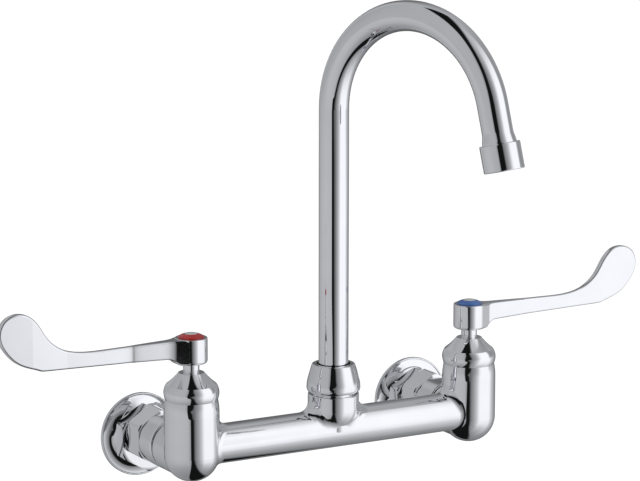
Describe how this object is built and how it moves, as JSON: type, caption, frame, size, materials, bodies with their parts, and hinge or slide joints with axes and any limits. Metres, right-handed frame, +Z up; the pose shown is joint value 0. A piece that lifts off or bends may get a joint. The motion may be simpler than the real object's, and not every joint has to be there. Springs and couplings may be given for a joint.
{
  "type": "wall-mounted bridge faucet",
  "caption": "Wall-mounted chrome bridge faucet with a swinging gooseneck spout, lever valves and adjustable inlet arms.",
  "frame": {"origin": "middle between the wall inlets, on the wall face", "axes": "+X along the bridge towards the cold side, +Y into the wall, +Z up"},
  "size_m": [0.463, 0.2138, 0.3145],
  "materials": {
    "casting": "polished chrome plate on cast brass",
    "valve_trim": "polished chrome plate on brass",
    "lever_metal": "polished chrome plate",
    "tube_metal": "polished chrome plate on brass tube",
    "inlet_metal": "polished chrome plate on brass",
    "flange_metal": "polished chrome plate on pressed brass",
    "aerator_metal": "polished chrome plate on brass",
    "brass": "machined",
    "ceramic": "lapped",
    "seals": "moulded, black",
    "screws": "machined",
    "clips": "spring steel",
    "slip_plastic": "natural white",
    "jet_plastic": "moulded, light grey",
    "hot_index": "red, glossy",
    "cold_index": "blue, glossy",
    "index_lens": "clear, glossy"
  },
  "bodies": {
    "body": {"bridge_body": "casting", "spout_nut": "valve_trim", "slide_washer": "slip_plastic", "hot_bonnet": "valve_trim", "hot_cartridge_body": "brass", "hot_fixed_disc": "ceramic", "hot_seat_seal": "seals", "hot_union_nut": "inlet_metal", "hot_union_clip": "clips", "hot_inlet_washer": "seals", "hot_inlet_arm": "inlet_metal", "hot_wall_flange": "flange_metal", "cold_bonnet": "valve_trim", "cold_cartridge_body": "brass", "cold_fixed_disc": "ceramic", "cold_seat_seal": "seals", "cold_union_nut": "inlet_metal", "cold_union_clip": "clips", "cold_inlet_washer": "seals", "cold_inlet_arm": "inlet_metal", "cold_wall_flange": "flange_metal"},
    "hot_handle": {"hot_lever": "lever_metal", "hot_stem": "brass", "hot_stem_rings": "seals", "hot_moving_disc": "ceramic", "hot_handle_screw": "screws", "hot_index_ring": "hot_index", "hot_index_lens": "index_lens"},
    "cold_handle": {"cold_lever": "lever_metal", "cold_stem": "brass", "cold_stem_rings": "seals", "cold_moving_disc": "ceramic", "cold_handle_screw": "screws", "cold_index_ring": "cold_index", "cold_index_lens": "index_lens"},
    "spout": {"spout_tube": "tube_metal", "spout_ferrule": "brass", "spout_rings": "seals", "aerator_housing": "aerator_metal", "aerator_washer": "seals", "aerator_insert": "jet_plastic"}
  },
  "joints": [
    {"name": "hot_handle_turn", "type": "hinge", "parent": "body", "child": "hot_handle", "pos_m": [-0.1016, -0.075, 0.008], "axis": [0, 0, 1], "range_deg": [0, 90]},
    {"name": "cold_handle_turn", "type": "hinge", "parent": "body", "child": "cold_handle", "pos_m": [0.1016, -0.075, 0.008], "axis": [0, 0, -1], "range_deg": [0, 90]},
    {"name": "spout_swing", "type": "hinge", "parent": "body", "child": "spout", "pos_m": [0, -0.075, 0.008], "axis": [0, 0, 1], "range_deg": [-136, 96]}
  ]
}
